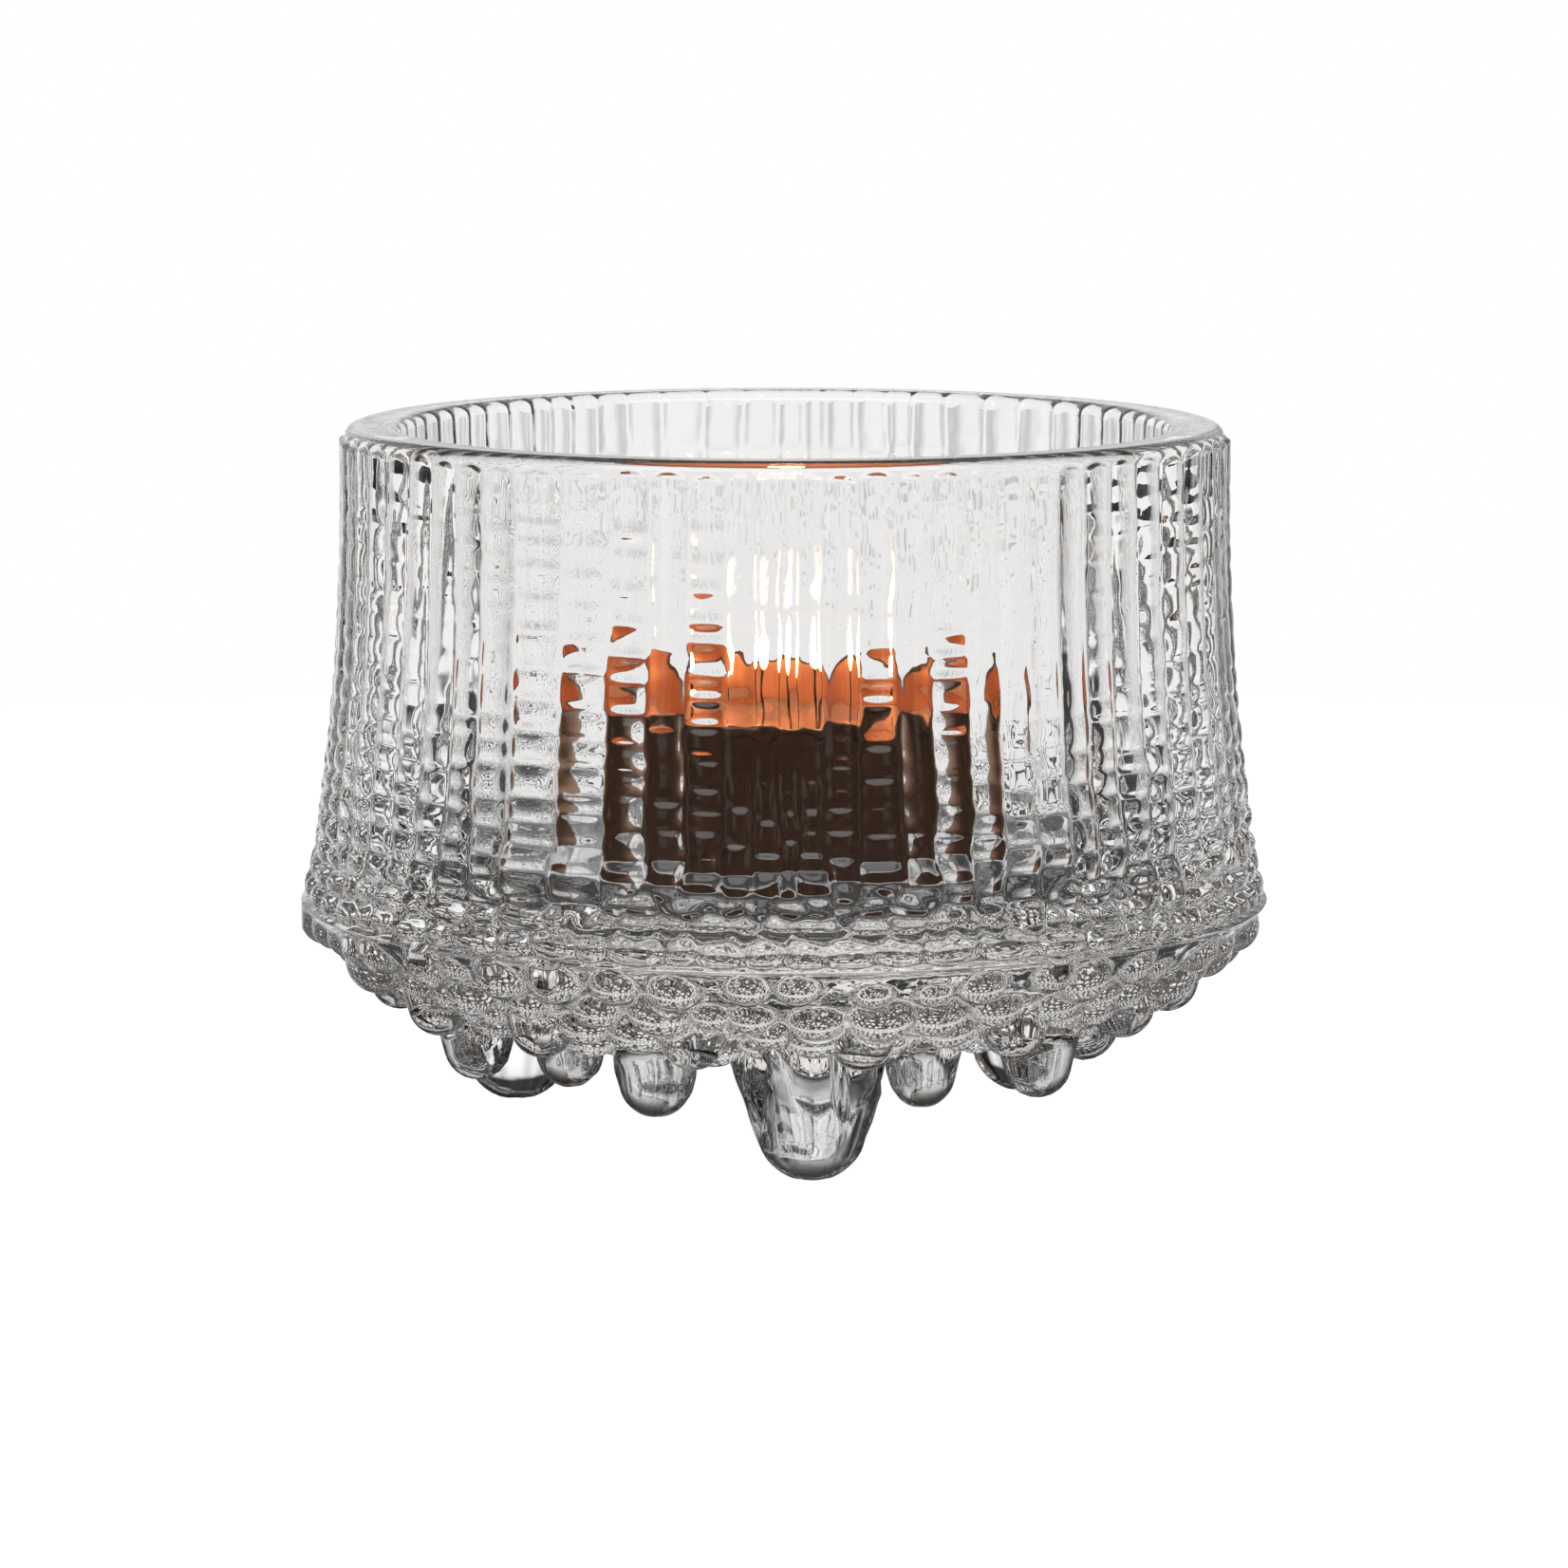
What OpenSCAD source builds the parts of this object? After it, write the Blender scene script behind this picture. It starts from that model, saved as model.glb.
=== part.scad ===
// Tealight holder in pressed glass. A thick bowl with a flared outside stands on three rounded
// glass feet, and drips like melting ice hang under its shoulder. A tealight stands on its floor.
// Millimetres. The origin is on the table under the middle of the bowl, +Z is up, -Y is the front.

/* [Bowl outside] */
// Height of the rim above the table
holder_h = 65; // [62:0.5:70]
// Radius of the outside at the rim
rim_r = 40.9; // [40:0.1:43]
// Largest radius, at the shoulder
shoulder_r = 44.7; // [44:0.1:48]
// Height of the shoulder above the table
shoulder_z = 21.3; // [19:0.1:23]
// How late the wall starts to flare on its way down
flare_power = 2.35; // [1.5:0.05:3]
// Height of the underside of the bowl above the table
base_z = 11; // [10:0.1:12]
// Radius at which the underside starts to curve up to the shoulder
base_r = 27; // [24:0.5:29]
// How full the curve is between the underside and the shoulder
belly_power = 1.5; // [1.3:0.05:1.8]

/* [Bowl inside] */
// Radius of the opening at the rim
mouth_r = 35.3; // [34.5:0.1:36]
// Radius of the inside just above the floor's fillet
well_r = 33.4; // [31:0.1:34]
// Height of the bowl's floor above the table
floor_z = 23; // [22:0.1:26]
// Radius of the fillet between the wall and the floor
floor_fillet = 5; // [2:0.5:7]
// Height of the rounded lip at the rim
lip_h = 1.9; // [1:0.1:2.5]
// How square the lip's section is, from 2 for an ellipse upwards
lip_power = 3.5; // [2:0.5:5]

/* [Feet] */
// Radius of the circle that the three feet stand on
foot_circle_r = 27.9; // [26:0.1:29]
// Turn of the first foot from the front towards +X, in degrees
foot_turn = 5; // [0:1:10]
// Radius of a foot's rounded tip
foot_tip_r = 5; // [4.5:0.1:5.5]
// Radius of the flat that a foot stands on
foot_flat_r = 1.8; // [1:0.1:2.5]
// Half angle of a foot's taper, in degrees
foot_taper = 19; // [10:1:22]

/* [Drips] */
// Half angle of a drip's taper, in degrees
drip_taper = 14; // [5:1:18]
// Radius of the circle that the outer drips hang on
outer_drip_circle_r = 35.5; // [34.5:0.1:36]
// Height of the lowest point of an outer drip above the table
outer_drip_z = 10.3; // [9.5:0.1:11]
// Radius of an outer drip's rounded tip
outer_drip_r = 3.3; // [2.8:0.1:3.5]
// Radius of the circle of round knobs under the shoulder
knob_circle_r = 40.8; // [40.3:0.1:41.2]
// Radius of a knob
knob_r = 2.8; // [2.5:0.1:3.1]
// Height of the middle of a knob above the table
knob_z = 17.2; // [16.8:0.1:17.6]

/* [Tealight] */
// Outer radius of the cup at its base
cup_base_r = 18.6; // [17.5:0.1:18.9]
// Outer radius of the cup just under its rolled rim
cup_top_r = 19; // [18:0.1:19.3]
// Height of the cup
cup_h = 15.2; // [14:0.1:17]
// Thickness of the cup's sheet
cup_sheet = 0.3; // [0.2:0.05:0.4]
// Radius of the rolled bead round the cup's rim
bead_r = 0.45; // [0.35:0.05:0.6]
// Gap all round between the wax and the cup
wax_gap = 0.3; // [0.1:0.05:0.5]
// Height of the wax
wax_h = 10.4; // [8:0.1:13]
// Radius of the wick
wick_r = 0.75; // [0.5:0.05:1]
// Length of bare wick above the wax
wick_bare = 7.5; // [3:0.5:9]
// Radius of the tin disc that holds the wick up
disc_r = 6.5; // [4:0.1:9]
// Height of the neck on that disc
neck_h = 3; // [2:0.1:5]

/* [Hidden] */
$fn = 96;

foot_count = 3;
foot_pitch = 360 / foot_count;
outer_drips_per_foot = 5;
outer_drip_pitch = foot_pitch / outer_drips_per_foot;
outer_drip_turn = 6;
knobs_per_foot = 8;
knob_pitch = foot_pitch / knobs_per_foot;
wall_steps = 16;
belly_steps = 10;
arc_steps = 8;
lip_z = holder_h - lip_h;
foot_top_z = base_z + 3;
drip_top_z = base_z + 1.5;
outer_drip_top_z = outer_drip_z + 5.5;

// Inner drips after each foot, as [degrees on from the foot, circle radius, tip height, tip radius]
inner_drips = [
    [21, 28, 5.8, 3],
    [45, 29.8, 5.6, 3.1],
    [72, 28.2, 6.8, 3],
    [91, 28, 5, 3.4]
];

cup_inner_base_r = cup_base_r - cup_sheet;
cup_inner_top_r = cup_top_r - cup_sheet;
wax_z = floor_z + cup_sheet;
disc_t = 0.3;
neck_wall = 0.35;
fit_gap = 0.05;
neck_r = wick_r + fit_gap + neck_wall;

// Outside radius of the wall at height z, between the rim and the shoulder
function wall_radius(z) =
    rim_r + (shoulder_r - rim_r) * pow((lip_z - z) / (lip_z - shoulder_z), flare_power);

// Outside radius under the shoulder, for t from 0 at the shoulder to 1 at the underside
function belly_radius(t) =
    base_r + (shoulder_r - base_r) * pow(1 - pow(t, belly_power), 1 / belly_power);

// Radius of the cup's inside at a height above its base
function cup_inner_radius(h) =
    cup_inner_base_r + (cup_inner_top_r - cup_inner_base_r) * h / cup_h;

function wall_points() = [
    for (i = [0 : wall_steps])
        let (z = lip_z + (shoulder_z - lip_z) * i / wall_steps)
        [wall_radius(z), z]
];

function belly_points() = [
    for (i = [1 : belly_steps])
        let (t = sin(90 * i / belly_steps))
        [belly_radius(t), shoulder_z + (base_z - shoulder_z) * t]
];

// Quarter circle in the corner between the floor and the wall of the bowl
function fillet_points() = [
    for (i = [0 : arc_steps])
        let (a = -90 + 90 * i / arc_steps)
        [well_r - floor_fillet + floor_fillet * cos(a), floor_z + floor_fillet + floor_fillet * sin(a)]
];

// Rounded half section over the lip, from the mouth to the outside
function lip_points() =
    let (mid_r = (mouth_r + rim_r) / 2, half_t = (rim_r - mouth_r) / 2)
    [
        for (i = [0 : 2 * arc_steps - 1])
            let (a = 180 - 90 * i / arc_steps, k = 2 / lip_power)
            [mid_r + half_t * sign(cos(a)) * pow(abs(cos(a)), k), lip_z + lip_h * pow(sin(a), k)]
    ];

module bowl() {
    rotate_extrude()
        polygon(concat(
            [[0, floor_z]], fillet_points(), lip_points(), wall_points(), belly_points(), [[0, base_z]]
        ));
}

// Round-tipped taper standing on height tip_z, which may be cut flat there
module icicle(tip_z, top_z, tip_r, taper, flat_r = 0) {
    centre_z = tip_z + sqrt(tip_r * tip_r - flat_r * flat_r);
    start_a = asin(flat_r / tip_r);
    arc = 90 - taper - start_a;
    side_r = tip_r * cos(taper);
    side_z = centre_z - tip_r * sin(taper);
    rotate_extrude()
        polygon(concat(
            [
                for (i = [0 : arc_steps])
                    let (a = start_a + arc * i / arc_steps)
                    [tip_r * sin(a), centre_z - tip_r * cos(a)]
            ],
            [[side_r + (top_z - side_z) * tan(taper), top_z], [0, top_z], [0, tip_z]]
        ));
}

// Child moved out from the axis to a circle, at an angle counted from the front towards +X
module on_circle(r, angle) {
    translate([r * sin(angle), -r * cos(angle), 0])
        children();
}

module foot() {
    icicle(0, foot_top_z, foot_tip_r, foot_taper, foot_flat_r);
}

module underside() {
    for (k = [0 : foot_count - 1]) {
        sector = foot_turn + k * foot_pitch;
        on_circle(foot_circle_r, sector)
            foot();
        for (d = inner_drips)
            on_circle(d[1], sector + d[0])
                icicle(d[2], drip_top_z, d[3], drip_taper);
        for (j = [0 : outer_drips_per_foot - 1])
            on_circle(outer_drip_circle_r, sector + outer_drip_turn + j * outer_drip_pitch)
                icicle(outer_drip_z, outer_drip_top_z, outer_drip_r, drip_taper);
        for (j = [0 : knobs_per_foot - 1])
            on_circle(knob_circle_r, sector + j * knob_pitch)
                translate([0, 0, knob_z])
                    sphere(r = knob_r);
    }
}

module glass_holder() {
    color([0.86, 0.89, 0.89, 0.4])
        union() {
            bowl();
            underside();
        }
}

// Thin deep-drawn cup: a flat base, a slightly tapered wall and a rolled bead round the top
module tealight_cup() {
    bead_z = cup_h - bead_r;
    color([0.33, 0.24, 0.19])
        translate([0, 0, floor_z])
        rotate_extrude()
            union() {
                polygon([
                    [0, 0], [cup_base_r, 0], [cup_top_r, bead_z], [cup_inner_top_r, bead_z],
                    [cup_inner_radius(cup_sheet), cup_sheet], [0, cup_sheet]
                ]);
                translate([cup_inner_top_r + bead_r, bead_z])
                    circle(r = bead_r, $fn = 32);
            }
}

// Wax puck with a hole down its middle for the wick and a pocket under it for the wick's holder
module wax() {
    pocket_r = disc_r + fit_gap;
    hole_r = wick_r + fit_gap;
    color([0.93, 0.82, 0.66])
        difference() {
            translate([0, 0, wax_z])
                cylinder(
                    h = wax_h,
                    r1 = cup_inner_radius(cup_sheet) - wax_gap,
                    r2 = cup_inner_radius(cup_sheet + wax_h) - wax_gap
                );
            translate([0, 0, wax_z - 1])
                cylinder(h = wax_h + 2, r = hole_r);
            translate([0, 0, wax_z - 1])
                cylinder(h = 1 + disc_t + fit_gap, r = pocket_r);
            translate([0, 0, wax_z - 1])
                cylinder(h = 1 + neck_h + fit_gap, r = neck_r + fit_gap);
        }
}

// Tin disc with a short neck that is crimped round the foot of the wick
module wick_sustainer() {
    color([0.75, 0.76, 0.78])
        translate([0, 0, wax_z])
        rotate_extrude()
            polygon([
                [0, 0], [disc_r, 0], [disc_r, disc_t], [neck_r, disc_t], [neck_r, neck_h],
                [wick_r + fit_gap, neck_h], [wick_r + fit_gap, disc_t], [0, disc_t]
            ]);
}

module wick() {
    color([0.16, 0.13, 0.11])
        translate([0, 0, wax_z + disc_t])
            cylinder(h = wax_h - disc_t + wick_bare, r = wick_r);
}

glass_holder();
tealight_cup();
wax();
wick_sustainer();
wick();
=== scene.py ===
"""Looks for the pressed-glass tealight holder: a bowl of melting-ice glass with a lit tealight in it.

Lengths in this script are millimetres until a mesh is made, where MM turns them into metres.
Angles round the bowl are counted from the front, -Y, towards +X.
"""
import math

import bpy
import numpy as np
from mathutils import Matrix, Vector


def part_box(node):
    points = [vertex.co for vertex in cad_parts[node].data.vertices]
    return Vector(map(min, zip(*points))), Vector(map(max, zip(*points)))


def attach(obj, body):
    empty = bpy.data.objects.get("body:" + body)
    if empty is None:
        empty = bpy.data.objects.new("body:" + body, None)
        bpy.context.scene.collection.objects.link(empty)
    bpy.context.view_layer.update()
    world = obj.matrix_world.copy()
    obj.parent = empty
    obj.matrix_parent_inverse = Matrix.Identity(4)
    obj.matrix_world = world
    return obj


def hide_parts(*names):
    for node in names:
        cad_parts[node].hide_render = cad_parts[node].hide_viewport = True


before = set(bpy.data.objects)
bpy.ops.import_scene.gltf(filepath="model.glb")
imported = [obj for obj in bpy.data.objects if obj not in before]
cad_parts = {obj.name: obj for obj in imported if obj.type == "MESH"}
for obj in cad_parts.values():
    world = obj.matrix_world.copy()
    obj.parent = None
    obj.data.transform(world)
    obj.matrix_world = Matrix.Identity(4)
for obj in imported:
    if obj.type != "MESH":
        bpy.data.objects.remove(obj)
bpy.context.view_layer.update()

MM = 0.001
SEED = 7


def box_mm(node):
    """Lowest and highest corner of a CAD node, in millimetres."""
    low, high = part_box(node)
    return np.array(low) / MM, np.array(high) / MM


GLASS_HIGH = box_mm("glass_holder")[1]
CUP_LOW, CUP_HIGH = box_mm("tealight_cup")
WAX_LOW, WAX_HIGH = box_mm("wax")
WICK_LOW, WICK_HIGH = box_mm("wick")
DISC_LOW, DISC_HIGH = box_mm("wick_sustainer")

# Bowl, as the CAD has it
RIM_Z = GLASS_HIGH[2]
SHOULDER_R = GLASS_HIGH[0]
FLOOR_Z = CUP_LOW[2]
LIP_H = 1.9
LIP_POWER = 3.5
LIP_Z = RIM_Z - LIP_H
RIM_R = 40.9
MOUTH_R = 35.3
LIP_MID = (RIM_R + MOUTH_R) / 2
WELL_R = 33.4
FILLET = 5.0
SHOULDER_Z = 21.3
FLARE_POWER = 2.35
BASE_R = 27.0
# Underside of the bowl, a little higher and rounder than the CAD has it
BASE_Z = 11.8
BELLY_POWER = 1.35
# The mesh stays this far inside the CAD's bowl, at the floor and at the shoulder
SKIN = 0.02

# Tealight, as the CAD has it, with its pool of melted wax and its flame
CUP_BASE_R = 18.6
CUP_TOP_R = 19.0
SHEET = 0.3
BEAD_R = 0.45
WICK_R = 0.75
NECK_R = 1.15
NECK_H = 3.0
CUP_COLUMNS = 160
POOL_R = 14.5
FLAME_Z = WICK_HIGH[2] - 1.6
FLAME_H = 6.0
FLAME_R = 2.3
FLAME_LEAN = 0.6
FLAME_GLOW = 55.0

# Colours of the wax, in the pool and round it, both holding the flame's warm orange as painted candlelight,
# and colour and roughness of the metals
WAX_MELTED_PAINTED_CANDLELIGHT = (0.74, 0.37, 0.26)
WAX_SET_PAINTED_CANDLELIGHT = (0.78, 0.43, 0.30)
LACQUER, LACQUER_ROUGHNESS = (0.48, 0.25, 0.15), 0.38
# Inside of the cup: the outside's copper-brown made lighter and warmer, as painted glow of the flame on it
COPPER_PAINTED_FLAME_GLOW, COPPER_ROUGHNESS = (0.78, 0.39, 0.28), 0.5
BARE_METAL, BARE_ROUGHNESS = (0.5, 0.49, 0.48), 0.4
TIN, TIN_ROUGHNESS = (0.7, 0.7, 0.7), 0.3

# Feet and drips under the bowl, as the CAD has them
FOOT_COUNT = 3
FOOT_PITCH = 360 / FOOT_COUNT
FOOT_TURN = 5.0
FOOT = {"circle": 27.9, "tip_z": 0.0, "tip_r": 5.0, "flat_r": 1.8, "taper": 19.0}
DRIP_TAPER = 14.0
INNER_DRIPS = ((21, 28.0, 5.8, 3.0), (45, 29.8, 5.6, 3.1), (72, 28.2, 6.8, 3.0), (91, 28.0, 5.0, 3.4))
OUTER_DRIPS = 5
OUTER_DRIP_TURN = 6.0
OUTER_DRIP_CIRCLE = 35.5
# The outer drips are a little higher and thinner than the CAD has them
OUTER_DRIP_Z = 10.9
OUTER_DRIP_R = 3.0
# Radius of the disc of underside that each is drawn out of, as a share of its tip's radius
FOOT_REACH, INNER_DRIP_REACH, OUTER_DRIP_REACH = 1.62, 1.55, 1.45
# Where a drip's round tip and its tapered side end, as shares of that disc's radius
DRIP_CAP, DRIP_SIDE = 0.52, 0.86

# Grid of the glass: columns round it, and rows down its wall and under its shoulder
COLUMNS = 800
WALL_ROWS = 106
BELLY_ROWS = 67
# Where the lip hands over to the wall, in degrees up its rounded section from the outside
LIP_END = 24

# Ice relief on the outside. Ribs stand RIB_DEPTH proud of their grooves, a little past the plain wall.
RIBS = 74
RIB_DEPTH = 0.6
RIB_PROUD = 0.1
RIB_TOP = 63.9
# Edge between the ribs and the pebbles: its height, and how far it wanders up and down
PEBBLE_TOP = 26.2
PEBBLE_WANDER = 2.0
# Middles of the ribs on the front and, of those, the ones notched into a ladder, in degrees
FRONT_RIBS = (-47.5, -42.7, -38.6, -32.2, -24.8, -18.9, -14.2, -9.4, -5.0, -2.1, 0.6, 3.0, 6.6, 11.6,
              16.0, 20.4, 25.0, 29.4, 33.9, 38.2, 42.3, 47.3, 52.5)
FRONT_LADDERS = ((-42.7, 0.5, 60), (-38.6, 0.5, 60), (-32.2, 1.0, 60), (-24.8, 1.0, 60), (-18.9, 1.0, 60),
                 (-9.4, 1.0, 60), (6.6, 1.0, 39), (11.6, 0.8, 50), (20.4, 1.0, 50), (42.3, 0.5, 60),
                 (52.5, 0.4, 60))
LADDER_TOP = 60.0
# The front reaches this far round each way, and the back starts here, in degrees
FRONT_ANGLE = 60
BACK_ANGLE = 110
# Share of their depth that the notches of the plain front ribs keep, and the same of the back's ribs
FRONT_SHARE = 0.2
BACK_DEPTH = 0.7
# Notches down each rib: how many and how far apart, first near the rim and then lower down
TOP_RUNGS, TOP_RUNG_STEP = 12, (1.5, 3.4)
LOW_RUNGS, LOW_RUNG_STEP = 40, (1.6, 3.0)
# Between these angles the ribs are shallower: by which share, and above which height
FLAT_RIBS = ((-7, 4.5, 0.6, 34), (22, 36, 0.5, 28))
# Rows of low pebbles over the shoulder: middle of the row above the shoulder, width and half height
PEBBLE_ROWS = ((1.3, 4.2, 1.15), (3.4, 3.8, 1.0), (5.3, 3.6, 0.95), (7.1, 3.3, 0.8))
PEBBLE_FLATNESS = 1.2
# Fine unevenness of the wall, as a share of the relief
GRAIN = 0.05
# Rows of round pearls under the shoulder: distance down from it, pearls round, radius and how far sunk
PEARL_ROWS = ((3.0, 50, 2.65, 1.0), (7.2, 45, 2.9, 0.7), (11.5, 41, 2.9, 0.7), (15.9, 35, 2.9, 0.8),
              (20.2, 29, 2.8, 0.9))
# How far a pearl may be from its regular place, in millimetres down and as a share of the row's pitch
PEARL_DRIFT = 0.9
PEARL_TURN = 0.3
# Smallest and largest pearl of a row, as shares of the row's radius
PEARL_SIZES = (0.72, 1.12)
# How far the drips' sides are uneven, as a share of their radius
HAMMER = 0.015

# Studio: how far its floor reaches in metres, and how bright it is under the holder, where it is painted
# dark as the holder's shadow, and away from it
FLOOR_RADIUS = 0.32
FLOOR_PAINTED_SHADOW = 0.05
FLOOR_GLOW = 0.95
# Brightness of the studio's walls against the angle from straight behind the holder, + to the right
WALL_LIGHT = ((-180, 0.02), (-154, 0.02), (-148, 0.5), (-138, 0.5), (-132, 0.02), (-98, 0.02),
              (-91, 0.5), (-82, 0.5), (-75, 0.02), (-41, 0.02), (-36, 0.8), (-28, 0.9), (-22, 0.55),
              (-16, 0.85), (-8, 0.97), (5, 0.97), (10, 0.5), (31, 0.45), (36, 0.02), (75, 0.02),
              (82, 0.15), (91, 0.15), (98, 0.02), (132, 0.02), (138, 0.4), (148, 0.4), (154, 0.02),
              (180, 0.02))
# The same where it is seen straight through the glass, with no reflection on the way
CLEAR_LIGHT = ((-180, 0.95), (-142, 0.9), (-137, 0.03), (-122, 0.03), (-117, 0.9), (-80, 0.9),
               (-75, 0.02), (-41, 0.02), (-36, 0.85), (-30, 0.95), (-23, 0.55), (-17, 0.9), (-11, 0.65),
               (-5, 0.95), (4, 0.95), (10, 0.6), (16, 0.92), (22, 0.55), (28, 0.88), (33, 0.6), (37, 0.02),
               (75, 0.02), (80, 0.45), (104, 0.6), (117, 0.9), (122, 0.03), (137, 0.03), (142, 0.9),
               (180, 0.95))
# Brightness against the angle above the horizon, which multiplies the walls' brightness
HEIGHT_LIGHT = ((-90, 0.05), (-50, 0.1), (-30, 0.6), (-16, 0.98), (-7, 1.0), (-2, 0.97), (4, 0.75),
                (9, 1.2), (18, 1.0), (22, 0.05), (58, 0.03), (90, 0.0))
# Brightness of the soft box overhead against the same angle
TOP_LIGHT = ((-90, 0.0), (62, 0.0), (66, 0.6), (90, 0.6))
# Brightness of the soft box above the camera that the glass mirrors on its outside: first against the
# angle above the horizon, then against the angle from straight behind the holder
FRONT_BOX_HEIGHT = ((-90, 0.0), (24, 0.0), (30, 2.2), (48, 2.2), (54, 0.0), (90, 0.0))
FRONT_BOX_WIDTH = ((-180, 1.0), (-130, 1.0), (-120, 0.0), (120, 0.0), (130, 1.0), (180, 1.0))

# Camera: metres, millimetres of lens, and degrees that it looks down
CAMERA_PLACE = (0, -0.6227, 0.1186)
CAMERA_LENS = 156.1
CAMERA_DIP = 7.97


# ---------------------------------------------------------------- small mesh tools

def new_object(name, points, faces, material):
    """Smooth-shaded mesh object from points in millimetres."""
    mesh = bpy.data.meshes.new(name)
    mesh.from_pydata((np.asarray(points) * MM).tolist(), [], faces)
    mesh.validate()
    mesh.update()
    obj = bpy.data.objects.new(name, mesh)
    bpy.context.scene.collection.objects.link(obj)
    mesh.materials.append(material)
    mesh.shade_smooth()
    return obj


def closed_revolve(grid):
    """Points and faces of a shell whose rows run from one pole to the other round the axis.

    grid is rows x columns x 3. The first and the last row are poles, of which one point is kept.
    """
    rows, columns = grid.shape[:2]
    ring = grid[1:-1].reshape(-1, 3)
    points = np.vstack([grid[0, 0], ring, grid[-1, 0]])
    a = np.arange(columns)
    b = (a + 1) % columns
    faces = []
    for i in range(rows - 3):
        low = 1 + i * columns
        high = low + columns
        faces += np.column_stack([low + a, high + a, high + b, low + b]).tolist()
    first, last = 0, len(points) - 1
    top = 1 + (rows - 3) * columns
    faces += [[first, 1 + i, 1 + j] for i, j in zip(a, b)]
    faces += [[last, top + j, top + i] for i, j in zip(a, b)]
    return points, faces


def smoothstep(low, high, x):
    """0 at low and before it, 1 at high and past it, with a smooth S between them."""
    t = np.clip((x - low) / (high - low), 0, 1)
    return t * t * (3 - 2 * t)


def smooth_noise(rng, count, period, x):
    """Smooth random curve through count values that repeats after period, from -1 to 1."""
    values = rng.uniform(-1, 1, count)
    t = np.asarray(x) / period * count
    i = np.floor(t).astype(int)
    f = t - i
    f = f * f * (3 - 2 * f)
    return values[i % count] * (1 - f) + values[(i + 1) % count] * f


# ---------------------------------------------------------------- glass

def wall_radius(z):
    """Radius of the plain wall between the rim and the shoulder."""
    t = np.clip((LIP_Z - z) / (LIP_Z - SHOULDER_Z), 0, 1)
    return RIM_R + (SHOULDER_R - RIM_R) * t ** FLARE_POWER


def rib_depth(z):
    """How far the relief stands out of its grooves, deeper over the pebbles."""
    return RIB_DEPTH * (1 + 0.5 * smoothstep(33, 27, z))


def groove_radius(z):
    """Radius at the bottom of the grooves, over the outer half of the lip and down the wall."""
    z = np.asarray(z, float)
    crest = wall_radius(z) + RIB_PROUD * smoothstep(SHOULDER_Z, SHOULDER_Z + 12, z)
    over = np.clip((z - LIP_Z) / LIP_H, 0, 1)
    lip = LIP_MID + (RIM_R + RIB_PROUD - RIB_DEPTH - LIP_MID) * (1 - over ** LIP_POWER) ** (1 / LIP_POWER)
    return np.where(z > LIP_Z, lip, crest - rib_depth(z))


def belly_radius(t):
    """Radius under the shoulder, for t from 0 at the shoulder to 1 at the underside."""
    return BASE_R + (SHOULDER_R - BASE_R) * (1 - t ** BELLY_POWER) ** (1 / BELLY_POWER)


def bump(u, power):
    """Rounded hump over -1..1: 1 in the middle and 0 at the ends."""
    return 1 - np.clip(np.abs(u), 0, 1) ** power


def value_noise(rng, angles, run, cells, cell_height):
    """Smooth random field over rows x columns, from -1 to 1, that repeats once round the bowl."""
    rows = int(np.ptp(run) / cell_height) + 3
    values = rng.uniform(-1, 1, (rows, cells))
    x = angles / 360 * cells
    y = (run - run.min()) / cell_height
    i, j = np.floor(x).astype(int), np.floor(y).astype(int)
    f, g = x - i, y - j
    f, g = f * f * (3 - 2 * f), (g * g * (3 - 2 * g))[:, None]
    low = values[j][:, i % cells] * (1 - f) + values[j][:, (i + 1) % cells] * f
    high = values[j + 1][:, i % cells] * (1 - f) + values[j + 1][:, (i + 1) % cells] * f
    return low * (1 - g) + high * g


def wrap(angle):
    """Angle brought into -180..180."""
    return (angle + 180) % 360 - 180


def rib_edges(rng):
    """Angles where one rib meets the next, in degrees, going round from the first of the front ribs."""
    first, last = FRONT_RIBS[0], FRONT_RIBS[-1]
    steps = rng.uniform(0.6, 1.4, RIBS - len(FRONT_RIBS) + 1)
    rest = last + np.cumsum(steps) / steps.sum() * (360 - last + first)
    centres = np.concatenate([FRONT_RIBS, rest])
    middles = (centres[:-1] + centres[1:]) / 2
    return np.concatenate([[middles[-1] - 360], middles])


def ladder_strength(rng, centres):
    """How deeply each rib is notched across: 0 for a plain rib, 1 for a pile of separate pebbles."""
    strength = rng.uniform(0.15, 0.6, RIBS)
    back = np.abs(wrap(centres)) > BACK_ANGLE
    strength[back] = rng.uniform(0.7, 1.0, back.sum())
    strength[:len(FRONT_RIBS)] *= FRONT_SHARE
    top = np.full(RIBS, LADDER_TOP)
    for angle, depth, high in FRONT_LADDERS:
        k = np.argmin(np.abs(wrap(centres - angle)))
        strength[k], top[k] = depth, high
    return strength, top


def rib_rungs(rng):
    """Where each rib is notched, in millimetres down from its top, and how deep each notch goes."""
    rungs = [np.cumsum(np.concatenate([[0], rng.uniform(*TOP_RUNG_STEP, TOP_RUNGS),
                                       rng.uniform(*LOW_RUNG_STEP, LOW_RUNGS)]))
             for _ in range(RIBS)]
    notch = rng.uniform(0.5, 1.0, (RIBS, TOP_RUNGS + LOW_RUNGS + 1))
    return np.array(rungs), notch


def flat_shares(middles):
    """Share by which each rib is shallower than the others, and the height above which it is so."""
    flat, flat_z = np.zeros(RIBS), np.zeros(RIBS)
    for low, high, share, bottom in FLAT_RIBS:
        chosen = (middles > low) & (middles < high)
        flat[chosen], flat_z[chosen] = share, bottom
    return flat, flat_z


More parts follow.
